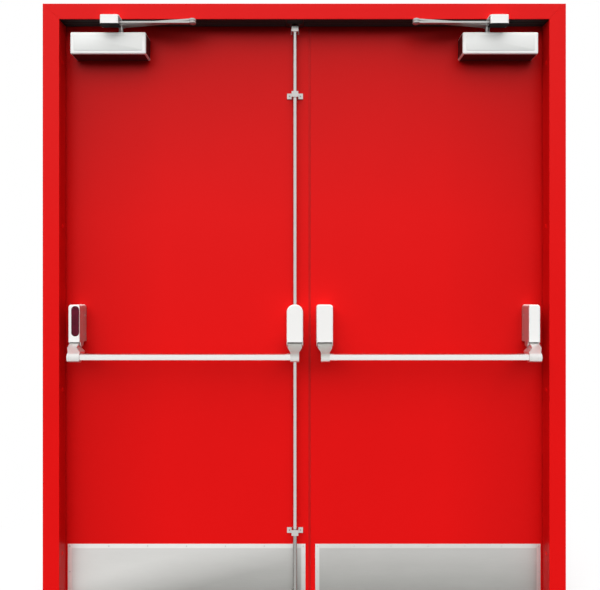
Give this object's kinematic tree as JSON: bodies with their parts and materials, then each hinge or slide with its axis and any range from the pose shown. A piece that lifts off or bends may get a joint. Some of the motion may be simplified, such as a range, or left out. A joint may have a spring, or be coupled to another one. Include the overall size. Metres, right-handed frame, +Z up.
{
  "type": "double fire door",
  "caption": "Red steel double fire door in a folded frame, with crossbar push bars, overhead closers, vertical rods and stainless kick plates.",
  "frame": {"origin": "under the threshold, at the middle of the frame's width and depth, on the floor", "axes": "+X right and +Y away as seen from the push side, so the leaves open towards +Y; +Z up"},
  "size_m": [1.83, 0.175, 2.135],
  "materials": {
    "red_paint": "satin",
    "core": "matte",
    "stainless": "satin",
    "hinge_steel": "satin",
    "silver": "satin",
    "alloy": "satin",
    "bar_steel": "satin"
  },
  "bodies": {
    "frame": {"left_jamb": "red_paint", "right_jamb": "red_paint", "frame_head": "red_paint", "threshold": "stainless", "top_strike": "stainless", "floor_strike": "stainless", "left_hinge_frame_halves": "hinge_steel", "left_hinge_pins": "hinge_steel", "left_closer_shoe": "silver", "right_hinge_frame_halves": "hinge_steel", "right_hinge_pins": "hinge_steel", "right_closer_shoe": "silver"},
    "left_leaf": {"left_front_skin": "red_paint", "left_back_skin": "red_paint", "left_leaf_core": "core", "left_kick_plate": "stainless", "left_hinge_leaf_halves": "hinge_steel", "left_closer_body": "silver", "left_latch_case": "silver", "left_hinge_case": "silver", "left_case_plates": "hinge_steel", "left_lever_pins": "hinge_steel", "rod_guides": "silver"},
    "left_push_bar": {"left_crossbar": "bar_steel", "left_levers": "alloy"},
    "left_closer_arm": {"left_main_arm": "alloy", "left_closer_spindle": "hinge_steel"},
    "left_closer_forearm": {"left_forearm": "alloy"},
    "right_leaf": {"right_front_skin": "red_paint", "right_back_skin": "red_paint", "right_leaf_core": "core", "right_kick_plate": "stainless", "right_hinge_leaf_halves": "hinge_steel", "right_closer_body": "silver", "right_latch_case": "silver", "right_hinge_case": "silver", "right_case_plates": "hinge_steel", "right_lever_pins": "hinge_steel"},
    "right_push_bar": {"right_crossbar": "bar_steel", "right_levers": "alloy"},
    "right_closer_arm": {"right_main_arm": "alloy", "right_closer_spindle": "hinge_steel"},
    "right_closer_forearm": {"right_forearm": "alloy"},
    "top_rod": {"top_rod": "bar_steel"},
    "bottom_rod": {"bottom_rod": "bar_steel"}
  },
  "joints": [
    {"name": "left_swing", "type": "hinge", "parent": "frame", "child": "left_leaf", "pos_m": [-0.8695, 0.063, 1.0535], "axis": [0, 0, 1], "range_deg": [0, 100], "stiffness_Nm_per_rad": 10, "springref_deg": -85.94},
    {"name": "left_push", "type": "hinge", "parent": "left_leaf", "child": "left_push_bar", "pos_m": [-0.4, -0.035, 0.948], "axis": [1, 0, 0], "range_deg": [0, 25], "stiffness_Nm_per_rad": 10, "springref_deg": -22.92},
    {"name": "left_arm_turn", "type": "hinge", "parent": "left_leaf", "child": "left_closer_arm", "pos_m": [-0.648, -0.03, 2.069], "axis": [0, 0, 1], "range_deg": [-115, 1]},
    {"name": "left_forearm_turn", "type": "hinge", "parent": "frame", "child": "left_closer_forearm", "pos_m": [-0.672, -0.07, 2.061], "axis": [0, 0, 1], "range_deg": [-1, 71]},
    {"name": "right_swing", "type": "hinge", "parent": "frame", "child": "right_leaf", "pos_m": [0.8695, 0.063, 1.0535], "axis": [0, 0, -1], "range_deg": [0, 100], "stiffness_Nm_per_rad": 10, "springref_deg": -85.94},
    {"name": "right_push", "type": "hinge", "parent": "right_leaf", "child": "right_push_bar", "pos_m": [0.4, -0.035, 0.948], "axis": [1, 0, 0], "range_deg": [0, 25], "stiffness_Nm_per_rad": 10, "springref_deg": -22.92},
    {"name": "right_arm_turn", "type": "hinge", "parent": "right_leaf", "child": "right_closer_arm", "pos_m": [0.648, -0.03, 2.069], "axis": [0, 0, -1], "range_deg": [-115, 1]},
    {"name": "right_forearm_turn", "type": "hinge", "parent": "frame", "child": "right_closer_forearm", "pos_m": [0.672, -0.07, 2.061], "axis": [0, 0, -1], "range_deg": [-1, 71]},
    {"name": "top_rod_slide", "type": "slide", "parent": "left_leaf", "child": "top_rod", "axis": [0, 0, -1], "range_m": [0, 0.015]},
    {"name": "bottom_rod_slide", "type": "slide", "parent": "left_leaf", "child": "bottom_rod", "axis": [0, 0, 1], "range_m": [0, 0.015]}
  ],
  "couplings": [
    {"joint": "left_arm_turn", "follows": "left_swing", "ratio": -1.1382},
    {"joint": "left_forearm_turn", "follows": "left_swing", "ratio": 0.697},
    {"joint": "right_arm_turn", "follows": "right_swing", "ratio": -1.1382},
    {"joint": "right_forearm_turn", "follows": "right_swing", "ratio": 0.697},
    {"joint": "top_rod_slide", "follows": "left_push", "m_per_rad": 0.034},
    {"joint": "bottom_rod_slide", "follows": "left_push", "m_per_rad": 0.034}
  ]
}
